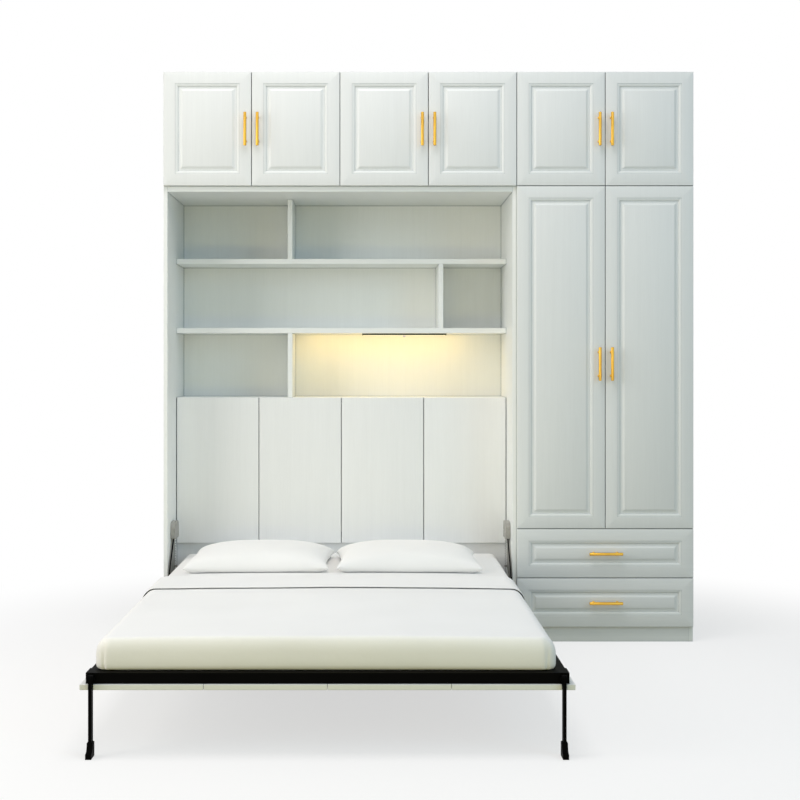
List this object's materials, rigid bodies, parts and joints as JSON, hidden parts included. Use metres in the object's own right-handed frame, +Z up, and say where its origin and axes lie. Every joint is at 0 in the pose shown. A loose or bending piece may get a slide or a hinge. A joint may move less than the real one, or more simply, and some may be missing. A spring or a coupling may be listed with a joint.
{
  "type": "fold-down wall bed",
  "caption": "Iron-framed wall bed that folds up into an open bay with shelves, with overhead cupboards and a wardrobe with drawers beside it.",
  "frame": {"origin": "on the floor, under the middle of the object's outline with the bed folded down", "axes": "+Z up, +Y from the bed's foot towards the wall, +X to the right for someone who faces the wall"},
  "size_m": [2.46, 2.3462, 2.646],
  "materials": {
    "white_board": "white wood-grain film, satin",
    "flat_white_panel": "plain white film, satin",
    "brass_bar": "satin",
    "black_iron": "powder coat, semi-gloss",
    "grey_steel": "grey paint, satin",
    "bright_steel": "zinc plated",
    "lamp_cover": "frosted, lit warm white",
    "mattress_cloth": "knitted ticking",
    "bed_linen": "plain cotton"
  },
  "bodies": {
    "cabinet": {"bay_side_left": "white_board", "bay_side_right": "white_board", "bay_top_board": "white_board", "bay_back_panel": "white_board", "shelf_upper": "white_board", "shelf_middle": "white_board", "cupboard_top": "white_board", "cupboard_floor": "white_board", "headboard_base_panel": "flat_white_panel", "cupboard_door_1": "flat_white_panel", "cupboard_door_2": "flat_white_panel", "cupboard_door_3": "flat_white_panel", "cupboard_door_4": "flat_white_panel", "light_bar": "lamp_cover", "overhead_carcass": "white_board", "wardrobe_carcass": "white_board", "wardrobe_plinth": "white_board", "hanging_rail": "bright_steel", "wall_plate_left": "grey_steel", "wall_plate_right": "grey_steel", "spring_housing_left": "grey_steel", "spring_housing_right": "grey_steel", "lift_spring_left": "bright_steel", "lift_spring_right": "bright_steel"},
    "bed": {"bed_frame": "black_iron", "face_panel_1": "white_board", "face_panel_2": "white_board", "face_panel_3": "white_board", "face_panel_4": "white_board", "mattress": "mattress_cloth", "duvet": "bed_linen", "pillow_left": "bed_linen", "pillow_right": "bed_linen"},
    "leg_left_arm": {"leg_left": "black_iron"},
    "leg_right_arm": {"leg_right": "black_iron"},
    "rod_left_arm": {"pull_rod_left": "black_iron"},
    "rod_right_arm": {"pull_rod_right": "black_iron"},
    "overhead_leaf_1": {"overhead_door_1": "white_board", "overhead_handle_1": "brass_bar"},
    "overhead_leaf_2": {"overhead_door_2": "white_board", "overhead_handle_2": "brass_bar"},
    "overhead_leaf_3": {"overhead_door_3": "white_board", "overhead_handle_3": "brass_bar"},
    "overhead_leaf_4": {"overhead_door_4": "white_board", "overhead_handle_4": "brass_bar"},
    "overhead_leaf_5": {"overhead_door_5": "white_board", "overhead_handle_5": "brass_bar"},
    "overhead_leaf_6": {"overhead_door_6": "white_board", "overhead_handle_6": "brass_bar"},
    "wardrobe_leaf_left": {"wardrobe_door_left": "white_board", "wardrobe_handle_left": "brass_bar"},
    "wardrobe_leaf_right": {"wardrobe_door_right": "white_board", "wardrobe_handle_right": "brass_bar"},
    "drawer_lower": {"drawer_box_lower": "white_board", "drawer_front_lower": "white_board", "drawer_handle_lower": "brass_bar"},
    "drawer_upper": {"drawer_box_upper": "white_board", "drawer_front_upper": "white_board", "drawer_handle_upper": "brass_bar"}
  },
  "joints": [
    {"name": "bed_fold", "type": "hinge", "parent": "cabinet", "child": "bed", "pos_m": [-0.41, 0.67315, 0.266], "axis": [-1, 0, 0], "range_deg": [0, 90]},
    {"name": "leg_left_swing", "type": "hinge", "parent": "bed", "child": "leg_left_arm", "pos_m": [-1.186, -1.13515, 0.253], "axis": [-1, 0, 0], "range_deg": [0, 180]},
    {"name": "leg_right_swing", "type": "hinge", "parent": "bed", "child": "leg_right_arm", "pos_m": [0.366, -1.13515, 0.253], "axis": [-1, 0, 0], "range_deg": [0, 180]},
    {"name": "rod_left_swing", "type": "hinge", "parent": "bed", "child": "rod_left_arm", "pos_m": [-1.2042, 0.61815, 0.286], "axis": [1, 0, 0], "range_deg": [0, 98.07]},
    {"name": "rod_right_swing", "type": "hinge", "parent": "bed", "child": "rod_right_arm", "pos_m": [0.3842, 0.61815, 0.286], "axis": [1, 0, 0], "range_deg": [0, 98.07]},
    {"name": "overhead_door_1_swing", "type": "hinge", "parent": "cabinet", "child": "overhead_leaf_1", "pos_m": [-1.2285, 0.62485, 2.381], "axis": [0, 0, -1], "range_deg": [0, 85]},
    {"name": "overhead_door_2_swing", "type": "hinge", "parent": "cabinet", "child": "overhead_leaf_2", "pos_m": [-0.4115, 0.62485, 2.381], "axis": [0, 0, 1], "range_deg": [0, 85]},
    {"name": "overhead_door_3_swing", "type": "hinge", "parent": "cabinet", "child": "overhead_leaf_3", "pos_m": [-0.4085, 0.62485, 2.381], "axis": [0, 0, -1], "range_deg": [0, 85]},
    {"name": "overhead_door_4_swing", "type": "hinge", "parent": "cabinet", "child": "overhead_leaf_4", "pos_m": [0.4085, 0.62485, 2.381], "axis": [0, 0, 1], "range_deg": [0, 85]},
    {"name": "overhead_door_5_swing", "type": "hinge", "parent": "cabinet", "child": "overhead_leaf_5", "pos_m": [0.4115, 0.62485, 2.381], "axis": [0, 0, -1], "range_deg": [0, 85]},
    {"name": "overhead_door_6_swing", "type": "hinge", "parent": "cabinet", "child": "overhead_leaf_6", "pos_m": [1.2285, 0.62485, 2.381], "axis": [0, 0, 1], "range_deg": [0, 85]},
    {"name": "wardrobe_door_left_swing", "type": "hinge", "parent": "cabinet", "child": "wardrobe_leaf_left", "pos_m": [0.4115, 0.62485, 1.321], "axis": [0, 0, -1], "range_deg": [0, 85]},
    {"name": "wardrobe_door_right_swing", "type": "hinge", "parent": "cabinet", "child": "wardrobe_leaf_right", "pos_m": [1.2285, 0.62485, 1.321], "axis": [0, 0, 1], "range_deg": [0, 85]},
    {"name": "drawer_lower_slide", "type": "slide", "parent": "cabinet", "child": "drawer_lower", "axis": [0, -1, 0], "range_m": [0, 0.4]},
    {"name": "drawer_upper_slide", "type": "slide", "parent": "cabinet", "child": "drawer_upper", "axis": [0, -1, 0], "range_m": [0, 0.4]}
  ],
  "couplings": [
    {"joint": "rod_left_swing", "follows": "bed_fold", "ratio": 1.0896},
    {"joint": "rod_right_swing", "follows": "bed_fold", "ratio": 1.0896}
  ]
}
